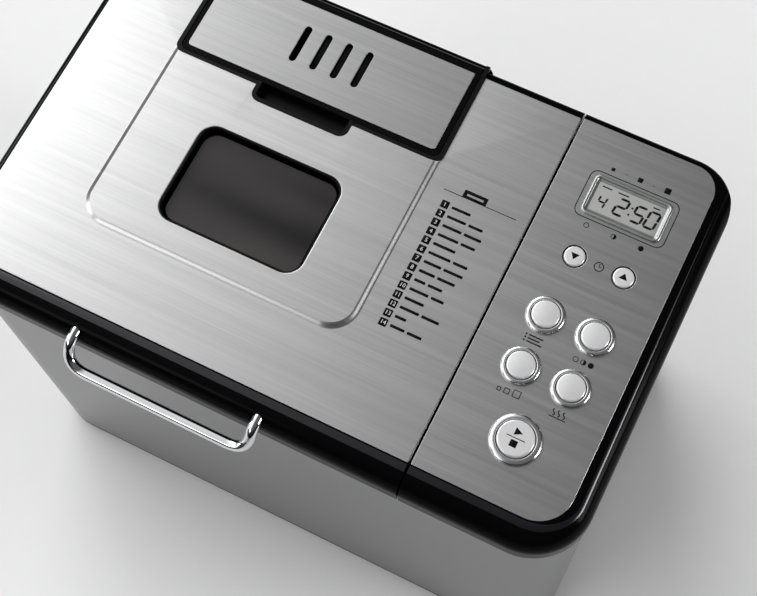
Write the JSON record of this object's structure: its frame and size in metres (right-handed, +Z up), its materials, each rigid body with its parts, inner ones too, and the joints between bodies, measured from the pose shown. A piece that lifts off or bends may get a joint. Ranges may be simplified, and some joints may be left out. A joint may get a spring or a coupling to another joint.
{
  "type": "bread machine",
  "caption": "Countertop bread machine: steel wrapped body with a heated pan and kneading paddle, hinged lid with window and nut dispenser, and a push-button panel.",
  "frame": {"origin": "on the table, under the middle of the machine's outline, wire handle included", "axes": "+X to the right seen from the front, +Y to the back, +Z up; the front with the handle faces -Y"},
  "size_m": [0.405, 0.277, 0.3044],
  "materials": {
    "brushed_steel": "brushed",
    "gloss_black": "gloss",
    "matte_black": "moulded",
    "rubber": "moulded",
    "chrome": "polished",
    "satin_cap": "satin metallised",
    "glass": "polished",
    "display": "polished",
    "sheet_steel": "plain",
    "coated_aluminium": "non-stick coated",
    "aluminium": "plain",
    "zinc": "plated",
    "circuit_board": "solder mask",
    "ceramic": "fired",
    "bronze": "sintered"
  },
  "bodies": {
    "case": {"rubber_feet": "rubber", "base_tray": "matte_black", "body_wrap": "brushed_steel", "rear_cover": "matte_black", "cord_gland": "matte_black", "top_frame": "matte_black", "hinge_pins": "zinc", "control_housing": "gloss_black", "control_plate": "brushed_steel", "display_bezel": "chrome", "display_lens": "display", "display_panel": "matte_black", "button_rings": "chrome", "control_board": "circuit_board", "tact_switches": "matte_black", "power_board": "circuit_board", "power_components": "matte_black", "chamber_liner": "sheet_steel", "heating_element": "sheet_steel", "element_bushes": "ceramic", "temperature_sensor": "sheet_steel", "pan_seat": "aluminium", "pan_clips": "sheet_steel", "chassis_plate": "sheet_steel", "drive_bearing": "bronze", "motor_housing": "zinc", "drive_belt": "rubber", "case_screws": "zinc"},
    "lid": {"lid_skin": "brushed_steel", "lid_frame": "gloss_black", "lid_handle": "chrome", "window_gasket": "rubber", "window_glass": "glass", "inner_glass": "glass", "lid_liner": "sheet_steel", "lid_screws": "zinc", "dispenser_housing": "matte_black", "hopper": "aluminium", "catch_magnet": "zinc", "dispenser_pins": "zinc"},
    "flap": {"flap_frame": "gloss_black", "flap_plate": "brushed_steel"},
    "trap": {"trapdoor": "aluminium"},
    "drive": {"drive_shaft": "sheet_steel", "drive_dog": "zinc", "drive_pulley": "matte_black"},
    "rotor": {"motor_shaft": "sheet_steel", "motor_pulley": "zinc"},
    "pan": {"bread_pan": "coated_aluminium", "pan_base": "aluminium"},
    "spindle": {"pan_shaft": "sheet_steel", "kneading_paddle": "coated_aluminium"},
    "bail": {"pan_bail": "sheet_steel"},
    "timer_down_button_cap": {"timer_down_button": "satin_cap"},
    "timer_up_button_cap": {"timer_up_button": "satin_cap"},
    "menu_button_cap": {"menu_button": "satin_cap"},
    "crust_button_cap": {"crust_button": "satin_cap"},
    "loaf_button_cap": {"loaf_button": "satin_cap"},
    "extra_button_cap": {"extra_button": "satin_cap"},
    "start_button_cap": {"start_button": "satin_cap"}
  },
  "joints": [
    {"name": "lid_hinge", "type": "hinge", "parent": "case", "child": "lid", "pos_m": [-0.0535, 0.132, 0.276], "axis": [-1, 0, 0], "range_deg": [0, 95]},
    {"name": "flap_hinge", "type": "hinge", "parent": "lid", "child": "flap", "pos_m": [-0.0535, 0.1305, 0.297], "axis": [-1, 0, 0], "range_deg": [0, 95]},
    {"name": "trapdoor_hinge", "type": "hinge", "parent": "lid", "child": "trap", "pos_m": [-0.0535, 0.0435, 0.2607], "axis": [-1, 0, 0], "range_deg": [0, 80]},
    {"name": "drive_spin", "type": "hinge", "parent": "case", "child": "drive", "pos_m": [-0.0535, 0.012, 0.04], "axis": [0, 0, 1], "continuous": true},
    {"name": "motor_spin", "type": "hinge", "parent": "case", "child": "rotor", "pos_m": [0.133, 0.012, 0.04], "axis": [0, 0, 1], "continuous": true},
    {"name": "pan_lift", "type": "slide", "parent": "case", "child": "pan", "axis": [0, 0, 1], "range_m": [0, 0.015]},
    {"name": "pan_spin", "type": "hinge", "parent": "pan", "child": "spindle", "pos_m": [-0.0535, 0.012, 0.1], "axis": [0, 0, 1], "continuous": true},
    {"name": "bail_swing", "type": "hinge", "parent": "pan", "child": "bail", "pos_m": [-0.0535, 0.012, 0.218], "axis": [-1, 0, 0], "range_deg": [0, 20]},
    {"name": "timer_down_button_press", "type": "slide", "parent": "case", "child": "timer_down_button_cap", "axis": [0, 0, -1], "range_m": [0, 0.0006], "stiffness_N_per_m": 300, "springref_m": -0.001},
    {"name": "timer_up_button_press", "type": "slide", "parent": "case", "child": "timer_up_button_cap", "axis": [0, 0, -1], "range_m": [0, 0.0006], "stiffness_N_per_m": 300, "springref_m": -0.001},
    {"name": "menu_button_press", "type": "slide", "parent": "case", "child": "menu_button_cap", "axis": [0, 0, -1], "range_m": [0, 0.0012], "stiffness_N_per_m": 300, "springref_m": -0.001},
    {"name": "crust_button_press", "type": "slide", "parent": "case", "child": "crust_button_cap", "axis": [0, 0, -1], "range_m": [0, 0.0012], "stiffness_N_per_m": 300, "springref_m": -0.001},
    {"name": "loaf_button_press", "type": "slide", "parent": "case", "child": "loaf_button_cap", "axis": [0, 0, -1], "range_m": [0, 0.0012], "stiffness_N_per_m": 300, "springref_m": -0.001},
    {"name": "extra_button_press", "type": "slide", "parent": "case", "child": "extra_button_cap", "axis": [0, 0, -1], "range_m": [0, 0.0012], "stiffness_N_per_m": 300, "springref_m": -0.001},
    {"name": "start_button_press", "type": "slide", "parent": "case", "child": "start_button_cap", "axis": [0, 0, -1], "range_m": [0, 0.0012], "stiffness_N_per_m": 300, "springref_m": -0.001}
  ],
  "couplings": [
    {"joint": "motor_spin", "follows": "drive_spin", "ratio": 6},
    {"joint": "pan_spin", "follows": "drive_spin", "ratio": 1}
  ]
}
